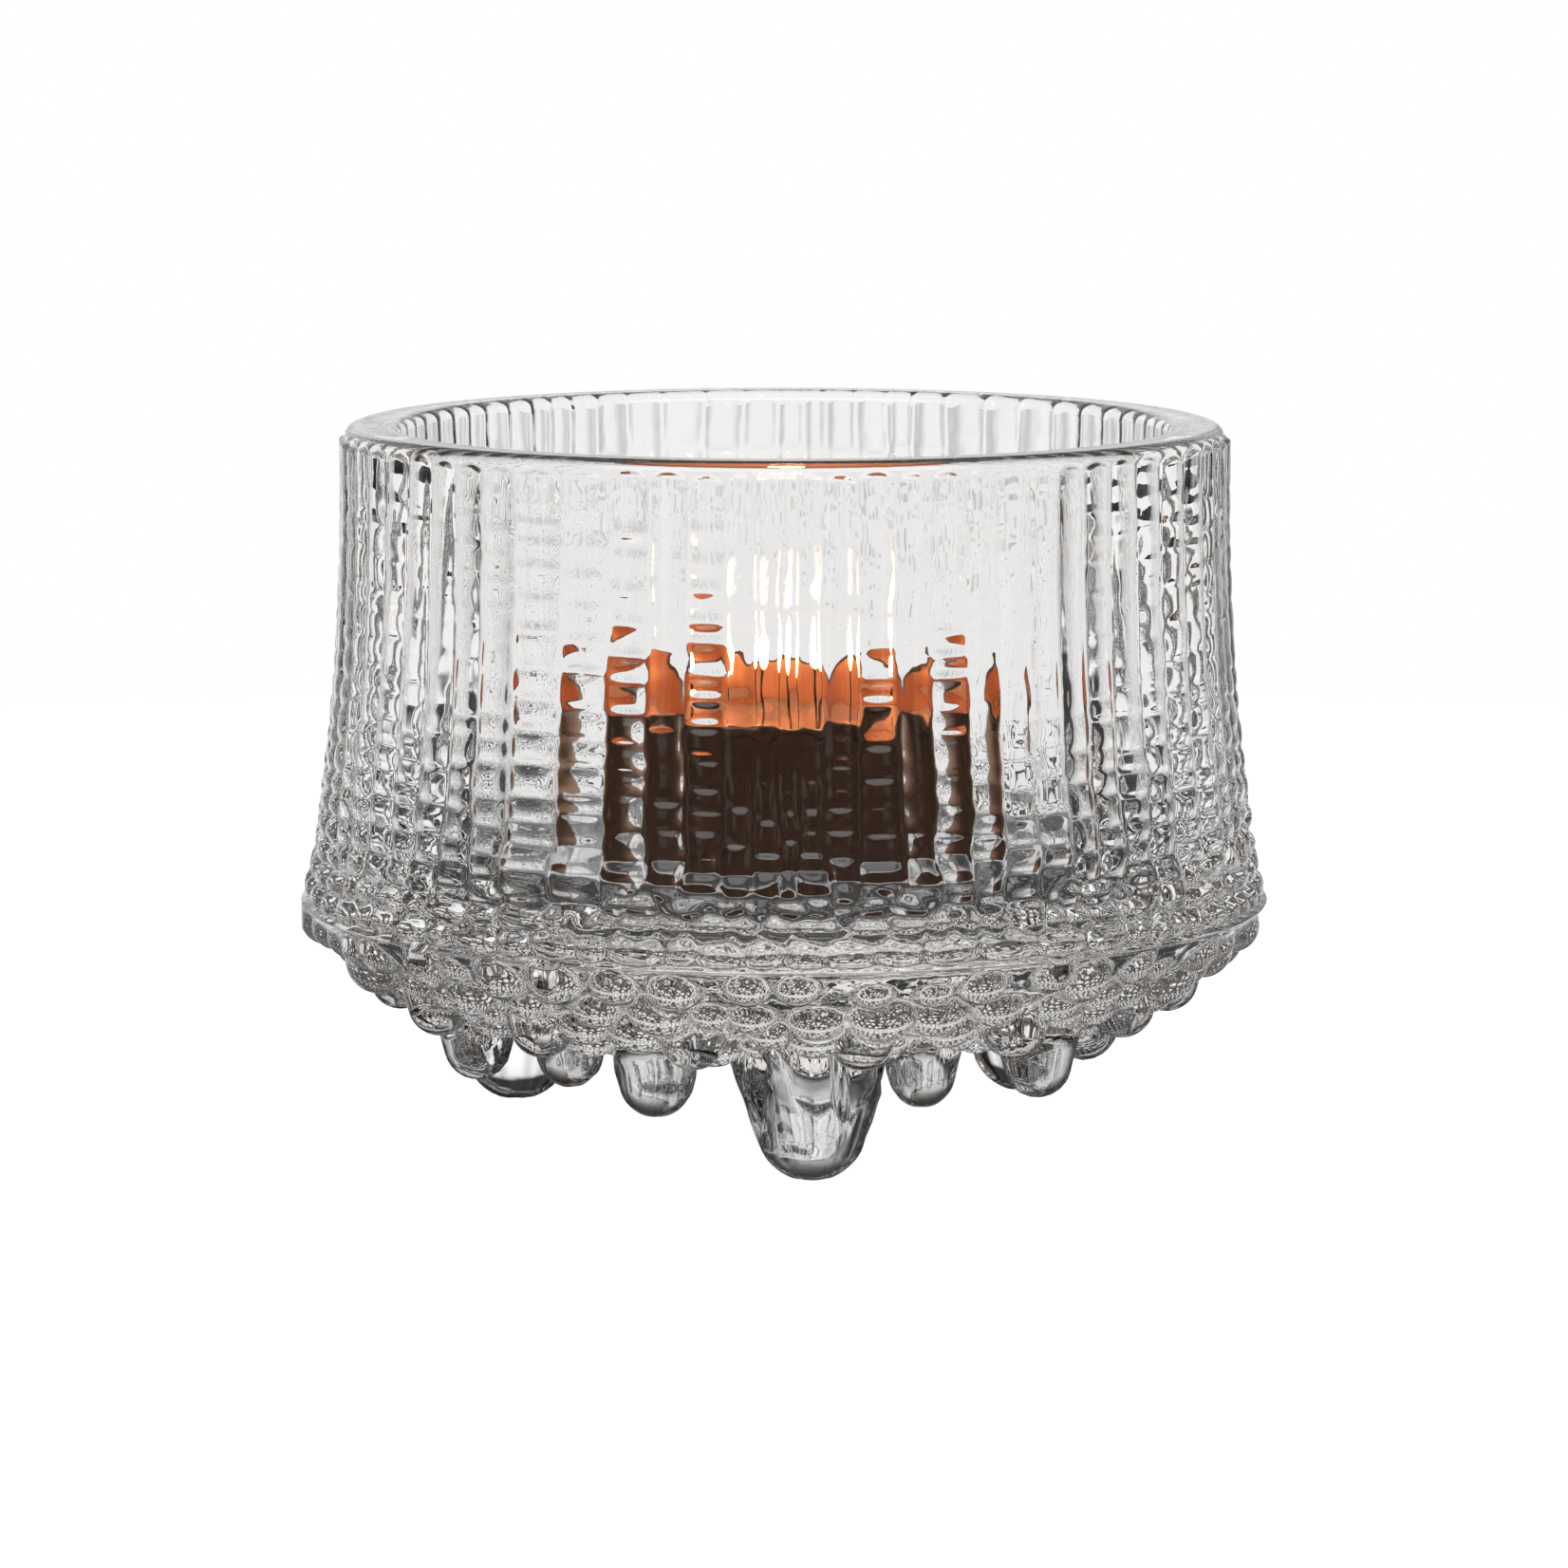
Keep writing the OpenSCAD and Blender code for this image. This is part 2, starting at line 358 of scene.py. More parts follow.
def rib_relief(rng, angles, heights):
    """Height of the ribs above their grooves over the wall, rows x columns, 0 to 1."""
    edges = rib_edges(rng)
    middles = (edges[:-1] + edges[1:]) / 2
    strongest, ladder_top = ladder_strength(rng, middles)
    tops = RIB_TOP + rng.uniform(-0.2, 0.15, RIBS)
    shape = rng.uniform(1.8, 3.2, RIBS)
    strength = rng.uniform(0.65, 1.0, RIBS)
    near = np.abs(wrap(middles)) < FRONT_ANGLE
    far = np.abs(wrap(middles)) > BACK_ANGLE
    flat, flat_z = flat_shares(middles)
    rungs, notch = rib_rungs(rng)
    every = np.arange(RIBS)
    wobble = np.array([smooth_noise(rng, 18, 60, heights + 7 * k) for k in range(RIBS)])
    relief = np.zeros((len(heights), len(angles)))
    for i, z in enumerate(heights):
        sway = 0.25 + 0.7 * smoothstep(38, 24, z)
        moved = edges[:-1] + wobble[:, i] * sway
        order = np.concatenate([moved, [moved[0] + 360]])
        a = (angles - order[0]) % 360 + order[0]
        k = np.clip(np.searchsorted(order, a, side="right") - 1, 0, RIBS - 1)
        u = 2 * (a - order[k]) / (order[k + 1] - order[k]) - 1
        across = bump(u, shape[k])
        down = np.maximum(tops - z, 0.001)
        j = np.array([np.searchsorted(rungs[r], down[r], side="right") - 1 for r in range(RIBS)])
        low, high = rungs[every, j], rungs[every, j + 1]
        v = 2 * (down - low) / (high - low) - 1
        depth = np.where(v < 0, notch[every, j], notch[every, j + 1])
        ladder = strongest * smoothstep(ladder_top + 2, ladder_top - 2, z)
        notched = ladder + (1 - ladder) * 0.95 * smoothstep(46, 32, z)
        along = 1 - (notched * depth)[k] * (1 - bump(v[k], 2.6))
        arch = smoothstep(0, 0.3, tops[k] - 0.5 * u * u - z)
        full = (1 - flat * smoothstep(flat_z, flat_z + 6, z)) * strength
        full = np.where(near, 1 - 0.35 * smoothstep(58, 64, z), 1) * full
        full = np.where(far, BACK_DEPTH, 1) * full
        relief[i] = across * along * arch * full[k]
    return relief


def ovals(rng, angles, run, radius, rows, flatness):
    """Fused droplets over a band of the bowl, rows x columns, 0 in the creases and 1 on the highest.

    Each row is (distance along the band, mean width, half height) in millimetres. run is the distance
    along the band and radius the bowl's radius there. Flatness 1 gives domes and more gives flat tops.
    """
    relief = np.zeros((len(run), len(angles)))
    mm_per_degree = (np.pi / 180 * radius)[:, None]
    for middle, width, half_height in rows:
        nearest = int(np.argmin(np.abs(run - middle)))
        around = 2 * np.pi * radius[nearest]
        widths = rng.uniform(0.6, 1.5, int(round(around / width)))
        edges = np.concatenate([[0], np.cumsum(widths) / widths.sum() * 360]) + rng.uniform(0, 360)
        for low, high in zip(edges[:-1], edges[1:]):
            across = wrap(angles - (low + high) / 2)
            place = middle + half_height * rng.uniform(-0.2, 0.2)
            tall = half_height * rng.uniform(0.85, 1.1)
            wide = (high - low) / 2 * rng.uniform(0.9, 1.02)
            near_rows = np.abs(run - place) < tall * 1.3
            near = np.abs(across) < wide * 1.2
            tilt = rng.uniform(-0.1, 0.1)
            top = rng.uniform(0.75, 1.0)
            if not near_rows.any():
                continue
            window = np.ix_(near_rows, near)
            x = across[None, near] * mm_per_degree[near_rows]
            y = (run[near_rows] - place)[:, None] + tilt * x
            q = (x / (wide * mm_per_degree[near_rows])) ** 2 + (y / tall) ** 2
            relief[window] = np.maximum(relief[window], top * np.sqrt(np.clip(1 - q ** flatness, 0, 1)))
    return relief


def wall_relief(rng, angles, heights):
    """Ribs down the wall that break up into rows of flat pebbles above the shoulder."""
    ribs = rib_relief(rng, angles, heights)
    pebbles = ovals(rng, angles, heights - SHOULDER_Z, wall_radius(heights), PEBBLE_ROWS, PEBBLE_FLATNESS)
    edge = PEBBLE_TOP + PEBBLE_WANDER * value_noise(rng, angles, heights, 60, 60)
    share = smoothstep(0.7, -0.7, heights[:, None] - edge)
    grain = GRAIN * value_noise(rng, angles, heights, 220, 1.3)
    return ribs * (1 - share) + pebbles * share + grain * smoothstep(RIB_TOP, RIB_TOP - 3, heights)[:, None]


def under_point(circle, angle):
    """Place on a circle round the axis, at an angle from the front towards +X."""
    a = math.radians(angle)
    return circle * math.sin(a), -circle * math.cos(a)


def drip_list():
    """Every foot and drip as a dictionary, with its place under the bowl."""
    found = []
    for s in range(FOOT_COUNT):
        sector = FOOT_TURN + s * FOOT_PITCH
        found.append(dict(FOOT, angle=sector, reach=FOOT["tip_r"] * FOOT_REACH))
        for turn, circle, tip_z, tip_r in INNER_DRIPS:
            found.append(dict(circle=circle, tip_z=tip_z, tip_r=tip_r, flat_r=0, taper=DRIP_TAPER,
                              angle=sector + turn, reach=tip_r * INNER_DRIP_REACH))
        for j in range(OUTER_DRIPS):
            turn = OUTER_DRIP_TURN + j * FOOT_PITCH / OUTER_DRIPS
            found.append(dict(circle=OUTER_DRIP_CIRCLE, tip_z=OUTER_DRIP_Z, tip_r=OUTER_DRIP_R, flat_r=0,
                              taper=DRIP_TAPER, angle=sector + turn,
                              reach=OUTER_DRIP_R * OUTER_DRIP_REACH))
    return found


def raise_pearls(rng, belly, moved, best):
    """Raises rows of round pearls out of the belly, clear of the drips, each out of its own disc of it."""
    hung = [(under_point(d["circle"], d["angle"]), d["tip_r"]) for d in drip_list()]
    radius, height = np.hypot(belly[:, 0, 0], belly[:, 0, 1]), belly[:, 0, 2]
    run = np.concatenate([[0], np.cumsum(np.hypot(np.diff(radius), np.diff(height)))])
    for down, count, size, sunk in PEARL_ROWS:
        turn = rng.uniform(0, 360)
        for j in range(count):
            at = down + rng.uniform(-PEARL_DRIFT, PEARL_DRIFT)
            angle = turn + (j + rng.uniform(-PEARL_TURN, PEARL_TURN)) * 360 / count
            r = size * rng.uniform(*PEARL_SIZES)
            circle, z = np.interp(at, run, radius), np.interp(at, run, height)
            slope_r = np.interp(at + 1, run, radius) - np.interp(at - 1, run, radius)
            slope_z = np.interp(at + 1, run, height) - np.interp(at - 1, run, height)
            length = math.hypot(slope_r, slope_z)
            x, y = under_point(circle, angle)
            if any(math.hypot(x - u, y - v) < 0.7 * w + 0.5 * r for (u, v), w in hung):
                continue
            out = -slope_z / length
            normal = np.array([out * x / circle, out * y / circle, slope_r / length])
            centre = np.array([x, y, z])
            offset = belly - centre
            flat = offset - (offset @ normal)[..., None] * normal
            distance = np.linalg.norm(flat, axis=-1)
            widest = math.acos(sunk / r)
            t = distance / (r * math.sin(widest) * 1.04)
            use = t < best
            lean = widest * t[use]
            spread = r * np.sin(lean) / np.maximum(distance[use], 1e-6)
            moved[use] = centre + flat[use] * spread[:, None] + (r * np.cos(lean) - sunk)[:, None] * normal
            best[use] = t[use]


def drip_profile(d, top_z, t):
    """Radius and height on a drip for t from 0 at its tip to 1 where it joins the bowl."""
    taper = math.radians(d["taper"])
    r = d["tip_r"]
    centre = d["tip_z"] + math.sqrt(r * r - d["flat_r"] ** 2)
    start = math.asin(d["flat_r"] / r)
    end = math.pi / 2 - taper
    side_r, side_z = r * math.sin(end), centre - r * math.cos(end)
    neck_z = np.maximum(top_z - 1.0, side_z + 0.2)
    neck_r = side_r + (neck_z - side_z) * math.tan(taper)
    flat, part = start / end, t / DRIP_CAP
    theta = start + (end - start) * np.clip((part - flat) / (1 - flat), 0, 1)
    radius = r * np.sin(theta)
    radius = np.where(part < flat, d["flat_r"] * part / max(flat, 1e-9), radius)
    height = np.where(part < flat, d["tip_z"], centre - r * np.cos(theta))
    f = np.clip((t - DRIP_CAP) / (DRIP_SIDE - DRIP_CAP), 0, 1)
    radius = np.where(t > DRIP_CAP, side_r + (neck_r - side_r) * f, radius)
    height = np.where(t > DRIP_CAP, side_z + (neck_z - side_z) * f, height)
    g = np.clip((t - DRIP_SIDE) / (1 - DRIP_SIDE), 0, 1)
    radius = np.where(t > DRIP_SIDE, neck_r + (d["reach"] - neck_r) * g, radius)
    rise = np.sqrt(np.clip(1 - (1 - g) ** 2, 0, 1))
    height = np.where(t > DRIP_SIDE, neck_z + (top_z - neck_z) * rise, height)
    return radius, height


def hammer(x, y, z):
    """Shallow unevenness of cast glass, from -1 to 1, about five millimetres long."""
    dents = np.sin(1.1 * x + 0.9 * z) * np.sin(1.2 * y - 1.0 * z + 1.0)
    waves = np.sin(1.7 * z + 0.5 * x - 0.7 * y)
    return (dents + waves) / 2


def hang_drips(rng, grid):
    """Draws the feet and drips out of the underside, each out of the disc of surface above it."""
    x, y, z = grid[..., 0], grid[..., 1], grid[..., 2]
    best = np.full(x.shape, 1.0)
    moved = grid.copy()
    raise_pearls(rng, grid, moved, best)
    for d in drip_list():
        cx, cy = under_point(d["circle"], d["angle"])
        dx, dy = x - cx, y - cy
        distance = np.hypot(dx, dy)
        t = distance / d["reach"]
        radius, height = drip_profile(d, z, np.clip(t, 0, 1))
        use = (t < best) & (z < SHOULDER_Z - 0.4)
        scale = radius / np.maximum(distance, 1e-6)
        scale *= 1 + HAMMER * hammer(cx + dx * scale, cy + dy * scale, height) * smoothstep(0.12, 0.4, t)
        lower = height < z
        use = use & lower
        moved[..., 0] = np.where(use, cx + dx * scale, moved[..., 0])
        moved[..., 1] = np.where(use, cy + dy * scale, moved[..., 1])
        moved[..., 2] = np.where(use, height, moved[..., 2])
        best = np.where(use, t, best)
    return moved


def ring_rows(radius, height):
    """Rings round the axis, rows x columns x 3, from a radius and a height for each row or each point."""
    angles = np.radians(np.arange(COLUMNS) / COLUMNS * 360)
    size = (len(radius), COLUMNS)
    radius = np.broadcast_to(np.asarray(radius, float).reshape(len(radius), -1), size)
    height = np.broadcast_to(np.asarray(height, float).reshape(len(height), -1), size)
    return np.stack([radius * np.sin(angles), radius * -np.cos(angles), height], axis=-1)


def inside_rows():
    """Floor, fillet and wall of the bowl's inside, from the middle of the floor up to the lip."""
    floor_r = np.linspace(0, WELL_R - FILLET, 5)[:-1]
    floor = ring_rows(floor_r, np.full(len(floor_r), FLOOR_Z - SKIN))
    a = np.radians(np.linspace(-90, 0, 9))
    fillet = ring_rows(WELL_R - FILLET + FILLET * np.cos(a), FLOOR_Z - SKIN + FILLET * (1 + np.sin(a)))
    wall_z = np.linspace(FLOOR_Z + FILLET, LIP_Z, 6)[1:-1]
    wall_r = WELL_R + (MOUTH_R - WELL_R) * (wall_z - FLOOR_Z - FILLET) / (LIP_Z - FLOOR_Z - FILLET)
    return np.concatenate([floor, fillet, ring_rows(wall_r, wall_z)])


def lip_rows():
    """Rounded lip from the mouth over to the outside, where the ribs take over."""
    a = np.radians(np.linspace(180, LIP_END, 19))
    half = np.where(a > np.pi / 2, LIP_MID - MOUTH_R, groove_radius(LIP_Z) - LIP_MID)
    lip_r = LIP_MID + half * np.sign(np.cos(a)) * np.abs(np.cos(a)) ** (2 / LIP_POWER)
    lip_z = LIP_Z + LIP_H * np.sin(a) ** (2 / LIP_POWER)
    lip_z[0] = LIP_Z
    return ring_rows(lip_r, lip_z)


def wall_rows(rng, top_z):
    """Outside of the wall with its ribs and pebbles, from just under the given height to the shoulder."""
    angles = np.arange(COLUMNS) / COLUMNS * 360
    heights = np.concatenate([np.linspace(top_z, LIP_Z - 0.2, 8)[1:],
                              np.linspace(LIP_Z - 0.2, SHOULDER_Z, WALL_ROWS + 1)[1:]])
    relief = wall_relief(rng, angles, heights)
    return ring_rows(groove_radius(heights)[:, None] + rib_depth(heights)[:, None] * relief, heights)


def under_rows():
    """Belly and underside, before the pearls and the drips are drawn out of them."""
    t = np.linspace(0, 1, BELLY_ROWS + 1)[1:]
    belly = ring_rows(belly_radius(t), SHOULDER_Z + (BASE_Z - SHOULDER_Z) * t)
    under_r = np.concatenate([np.linspace(BASE_R, 18, 25)[1:], np.linspace(18, 0, 9)[1:]])
    return np.concatenate([belly, ring_rows(under_r, np.full(len(under_r), BASE_Z))])


def build_glass(material):
    """One closed mesh, from the middle of the floor over the lip and down to the middle of the underside."""
    rng = np.random.default_rng(SEED)
    lip = lip_rows()
    wall = wall_rows(rng, lip[-1, 0, 2])
    bottom = hang_drips(rng, under_rows())
    grid = np.concatenate([inside_rows(), lip, wall, bottom])
    reach = np.hypot(grid[..., 0], grid[..., 1])
    grid[..., :2] *= np.minimum(1, (SHOULDER_R - SKIN) / np.maximum(reach, 1e-6))[..., None]
    points, faces = closed_revolve(grid)
    return new_object("ice_glass_bowl", points, faces, material)


# ---------------------------------------------------------------- materials

def new_material(name):
    """Material with its nodes, its links and its main shader."""
    mat = bpy.data.materials.new(name)
    mat.use_nodes = True
    nodes, links = mat.node_tree.nodes, mat.node_tree.links
    return mat, nodes, links, nodes["Principled BSDF"]


def feed(links, value, socket):
    """Gives a socket a plain number or another node's output."""
    if isinstance(value, (int, float)):
        socket.default_value = value
    else:
        links.new(value, socket)


def math_node(nodes, links, operation, *values):
    """Result of a math node whose inputs are plain numbers or other nodes' outputs."""
    node = nodes.new("ShaderNodeMath")
    node.operation = operation
    for socket, value in zip(node.inputs, values):
        feed(links, value, socket)
    return node.outputs["Value"]


def mix_values(nodes, links, share, first, second):
    """Number that goes from first to second as share goes from 0 to 1."""
    mix = nodes.new("ShaderNodeMix")
    mix.data_type = "FLOAT"
    links.new(share, mix.inputs["Factor"])
    feed(links, first, mix.inputs["A"])
    feed(links, second, mix.inputs["B"])
    return mix.outputs["Result"]


def mix_colors(nodes, links, share, first, second):
    """Colour that goes from first to second as share goes from 0 to 1."""
    mix = nodes.new("ShaderNodeMix")
    mix.data_type = "RGBA"
    mix.inputs["A"].default_value = (*first, 1)
    mix.inputs["B"].default_value = (*second, 1)
    links.new(share, mix.inputs["Factor"])
    return mix.outputs["Result"]


def map_range(nodes, links, value, source, target=(0, 1), smooth=False):
    """Value carried from one range over to another and held at its ends, in a line or a smooth S."""
    node = nodes.new("ShaderNodeMapRange")
    if smooth:
        node.interpolation_type = "SMOOTHSTEP"
    for name, number in zip(("From Min", "From Max", "To Min", "To Max"), (*source, *target)):
        node.inputs[name].default_value = number
    links.new(value, node.inputs["Value"])
    return node.outputs["Result"]


def vector_length(nodes, links, vector):
    """Length of a vector, as a number."""
    node = nodes.new("ShaderNodeVectorMath")
    node.operation = "LENGTH"
    links.new(vector, node.inputs[0])
    return node.outputs["Value"]


def object_place(nodes, links):
    """Place on the object, as its separate X, Y and Z."""
    coords = nodes.new("ShaderNodeTexCoord")
    split = nodes.new("ShaderNodeSeparateXYZ")
    links.new(coords.outputs["Object"], split.inputs["Vector"])
    return split.outputs


def grain_noise(nodes, links, scale, detail, stretch):
    """Noise over the object whose grains are stretch times as long up and down as they are wide."""
    coords = nodes.new("ShaderNodeTexCoord")
    scaled = nodes.new("ShaderNodeMapping")
    scaled.inputs["Scale"].default_value = (1, 1, 1 / stretch)
    links.new(coords.outputs["Object"], scaled.inputs["Vector"])
    noise = nodes.new("ShaderNodeTexNoise")
    noise.inputs["Scale"].default_value = scale
    noise.inputs["Detail"].default_value = detail
    links.new(scaled.outputs["Vector"], noise.inputs["Vector"])
    return noise.outputs["Fac"]


def bend_normal(nodes, links, shader, height, strength, distance):
    """Makes a surface look as uneven as a height says."""
    node = nodes.new("ShaderNodeBump")
    node.inputs["Strength"].default_value = strength
    node.inputs["Distance"].default_value = distance
    links.new(height, node.inputs["Height"])
    links.new(node.outputs["Normal"], shader.inputs["Normal"])


def noise_bump(nodes, links, shader, scale, strength, distance, detail=3.0, stretch=1.0):
    """Fine unevenness of a surface."""
    grain = grain_noise(nodes, links, scale, detail, stretch)
    bend_normal(nodes, links, shader, grain, strength, distance)


def glass_material():
    """Clear glass with a faint tint in its depth."""
    mat, nodes, links, shader = new_material("clear_pressed_glass")
    shader.inputs["Base Color"].default_value = (1.0, 1.0, 1.0, 1)
    shader.inputs["Roughness"].default_value = 0.0
    shader.inputs["IOR"].default_value = 1.52
    shader.inputs["Transmission Weight"].default_value = 1.0
    noise_bump(nodes, links, shader, 900.0, 0.10, 0.0002, 1.0, 3.0)
    body = nodes.new("ShaderNodeVolumeAbsorption")
    body.inputs["Color"].default_value = (0.75, 0.50, 0.25, 1)
    body.inputs["Density"].default_value = 1.2
    links.new(body.outputs["Volume"], nodes["Material Output"].inputs["Volume"])
    return mat


def sheet_material(name, color, roughness):
    """Metal sheet with faint lines drawn up the wall."""
    mat, nodes, links, shader = new_material(name)
    shader.inputs["Metallic"].default_value = 1.0
    lines = grain_noise(nodes, links, 900.0, 3.0, 25)
    darker, lighter = ([share * c for c in color] for share in (0.75, 1.2))
    links.new(mix_colors(nodes, links, lines, darker, lighter), shader.inputs["Base Color"])
    rough = map_range(nodes, links, lines, (0, 1), (roughness - 0.06, roughness + 0.1))
    links.new(rough, shader.inputs["Roughness"])
    bend_normal(nodes, links, shader, lines, 0.25, 0.0001)
    return mat


def wax_material():
    """Wax whose colour holds the warm tone of candlelight as painted light, darker and wet where it has
    melted round the wick.
    """
    mat, nodes, links, shader = new_material("candle_wax")
    coords = nodes.new("ShaderNodeTexCoord")
    flat = nodes.new("ShaderNodeMapping")
    flat.inputs["Scale"].default_value = (1.0, 1.0, 0.0)
    links.new(coords.outputs["Object"], flat.inputs["Vector"])
    away = vector_length(nodes, links, flat.outputs["Vector"])
    blur = 0.0012
    edge = map_range(nodes, links, away, (POOL_R * MM - blur, POOL_R * MM + blur), smooth=True)
    # Both wax colours carry the flame's warm orange: painted candlelight.
    links.new(mix_colors(nodes, links, edge, WAX_MELTED_PAINTED_CANDLELIGHT, WAX_SET_PAINTED_CANDLELIGHT), shader.inputs["Base Color"])
    links.new(map_range(nodes, links, edge, (0, 1), (0.06, 0.45)), shader.inputs["Roughness"])
    shader.inputs["Subsurface Weight"].default_value = 0.3
    shader.inputs["Subsurface Radius"].default_value = (0.004, 0.002, 0.001)
    noise_bump(nodes, links, shader, 260.0, 0.08, 0.0002)
    return mat


def wick_material():
    """Waxed cotton that is charred black towards its tip and glows at the very end."""
    mat, nodes, links, shader = new_material("cotton_wick")
    height = object_place(nodes, links)["Z"]
    char = map_range(nodes, links, height, (WAX_HIGH[2] * MM, WICK_HIGH[2] * MM))
    tone = nodes.new("ShaderNodeValToRGB")
    tone.color_ramp.elements[0].color = (0.55, 0.42, 0.28, 1)
    tone.color_ramp.elements[1].position = 0.45
    tone.color_ramp.elements[1].color = (0.012, 0.009, 0.008, 1)
    links.new(char, tone.inputs["Fac"])
    links.new(tone.outputs["Color"], shader.inputs["Base Color"])
    ember = map_range(nodes, links, height, ((WICK_HIGH[2] - 0.9) * MM, WICK_HIGH[2] * MM), (0, 4.0))
    shader.inputs["Emission Color"].default_value = (1.0, 0.22, 0.04, 1)
    links.new(ember, shader.inputs["Emission Strength"])
    shader.inputs["Roughness"].default_value = 0.85
    noise_bump(nodes, links, shader, 2500.0, 0.5, 0.0001)
    return mat


def plain_material(name, color, metallic, roughness):
    """One colour all over, with a fine grain."""
    mat, nodes, links, shader = new_material(name)
    shader.inputs["Base Color"].default_value = (*color, 1)
    shader.inputs["Metallic"].default_value = metallic
    shader.inputs["Roughness"].default_value = roughness
    noise_bump(nodes, links, shader, 1500.0, 0.3, 0.0001)
    return mat


def flame_material():
    """Glow that is dim at the foot of the flame, near white in its body and yellow at its tip."""
    mat = bpy.data.materials.new("flame_glow")
    mat.use_nodes = True
    nodes, links = mat.node_tree.nodes, mat.node_tree.links
    nodes.clear()
    out = nodes.new("ShaderNodeOutputMaterial")
    glow = nodes.new("ShaderNodeEmission")
    height = object_place(nodes, links)["Z"]
    up = map_range(nodes, links, height, (FLAME_Z * MM, (FLAME_Z + FLAME_H) * MM))
    tone = nodes.new("ShaderNodeValToRGB")
    stops = tone.color_ramp.elements
    for place, color in ((0.3, (1.0, 0.66, 0.30, 1)), (0.75, (1.0, 0.60, 0.22, 1))):
        stops.new(place).color = color
    stops[0].color = (1.0, 0.32, 0.06, 1)
    stops[-1].color = (1.0, 0.45, 0.10, 1)
    links.new(up, tone.inputs["Fac"])
    links.new(tone.outputs["Color"], glow.inputs["Color"])
    body = map_range(nodes, links, up, (0, 0.3), (0.1 * FLAME_GLOW, FLAME_GLOW))
    links.new(body, glow.inputs["Strength"])
    edge = nodes.new("ShaderNodeLayerWeight")
    edge.inputs["Blend"].default_value = 0.35
    mix = nodes.new("ShaderNodeMixShader")
    links.new(edge.outputs["Facing"], mix.inputs["Fac"])
    links.new(glow.outputs["Emission"], mix.inputs[1])
    links.new(nodes.new("ShaderNodeBsdfTransparent").outputs["BSDF"], mix.inputs[2])
    links.new(mix.outputs["Shader"], out.inputs["Surface"])
    return mat


# ---------------------------------------------------------------- tealight

def turned_grid(outline, columns):
    """Grid of an outline of (radius, height) turned round the axis, rows x columns x 3."""
    outline = np.asarray(outline, float)
    a = np.arange(columns) / columns * 2 * np.pi
    r = outline[:, 0][:, None] * np.ones(columns)
    z = outline[:, 1][:, None] * np.ones(columns)
    return np.stack([r * np.sin(a), -r * np.cos(a), z], axis=-1)


def closed_ring(grid):
    """Points and faces of a ring: the last row joins the first and the last column joins the first."""
    rows, columns = grid.shape[:2]
    a = np.arange(columns)
    b = (a + 1) % columns
    faces = []
    for i in range(rows):
        low, high = i * columns, (i + 1) % rows * columns
        faces += np.column_stack([low + a, high + a, high + b, low + b]).tolist()
    return grid.reshape(-1, 3), faces


def arc(centre_r, centre_z, radius, first, last, count):
    """Points on a circle in the (radius, height) plane between two angles in degrees."""
    a = np.radians(np.linspace(first, last, count))
    return [(centre_r + radius * math.cos(t), centre_z + radius * math.sin(t)) for t in a]


def build_cup(outside, inside, base):
    """Deep-drawn cup: flat base, tapered wall with a small corner radius, and a rolled bead."""
    low, top = CUP_LOW[2], CUP_HIGH[2]
    floor = low + SHEET
    inner = [(0, floor), (9, floor)]
    inner += arc(CUP_BASE_R - SHEET - 0.8, floor + 0.8, 0.8, -90, 0, 7)
    inner += [(CUP_BASE_R - SHEET + (CUP_TOP_R - CUP_BASE_R) * f, floor + (top - BEAD_R - floor) * f)
              for f in (0.3, 0.6, 0.9)]
    bead = arc(CUP_TOP_R - SHEET + BEAD_R, top - BEAD_R, BEAD_R, 180, -80, 17)
    outer = [(CUP_BASE_R + (CUP_TOP_R - CUP_BASE_R) * f, low + (top - low) * f) for f in (0.9, 0.6, 0.3)]
    outer += arc(CUP_BASE_R - 0.9, low + 0.9, 0.9, 0, -90, 7)
    outer += [(9, low), (0, low)]
    grid = turned_grid(inner + bead + outer, CUP_COLUMNS)
    points, faces = closed_revolve(grid)
    cup = new_object("tealight_cup_drawn", points, faces, outside)
    cup.data.materials.append(inside)
    cup.data.materials.append(base)
    inside_rows = len(inner) - 1
    index = np.zeros(len(faces), dtype=np.int32)
    index[:inside_rows * CUP_COLUMNS] = 1
    index[-2 * CUP_COLUMNS:-CUP_COLUMNS] = 1
    index[-3 * CUP_COLUMNS:-2 * CUP_COLUMNS] = 2
    index[-CUP_COLUMNS:] = 2
    cup.data.polygons.foreach_set("material_index", index)
    return cup


def build_wax(material):
    """Puck with a melted pool on top, a hole for the wick and a pocket for the wick's holder."""
    low, top, rim = WAX_LOW[2], WAX_HIGH[2], WAX_HIGH[0]
    hole, pocket, neck = WICK_R + 0.08, DISC_HIGH[0] + 0.06, NECK_R + 0.06
    outline = [(hole, top - 0.3), (hole + 0.6, top - 0.5), (hole + 2, top - 0.6), (POOL_R - 2, top - 0.6),
               (POOL_R, top - 0.5), (POOL_R + 1.2, top - 0.22), (rim - 0.9, top - 0.12), (rim - 0.25, top),
               (rim, top - 0.2), (rim - 0.28, low + 0.2), (rim - 0.45, low), (12, low),
               (pocket, low), (pocket, low + 0.36), (neck, low + 0.36), (neck, low + NECK_H + 0.06),
               (hole, low + NECK_H + 0.06), (hole, (low + top) / 2)]
    points, faces = closed_ring(turned_grid(outline, 128))
    return new_object("candle_wax_puck", points, faces, material)


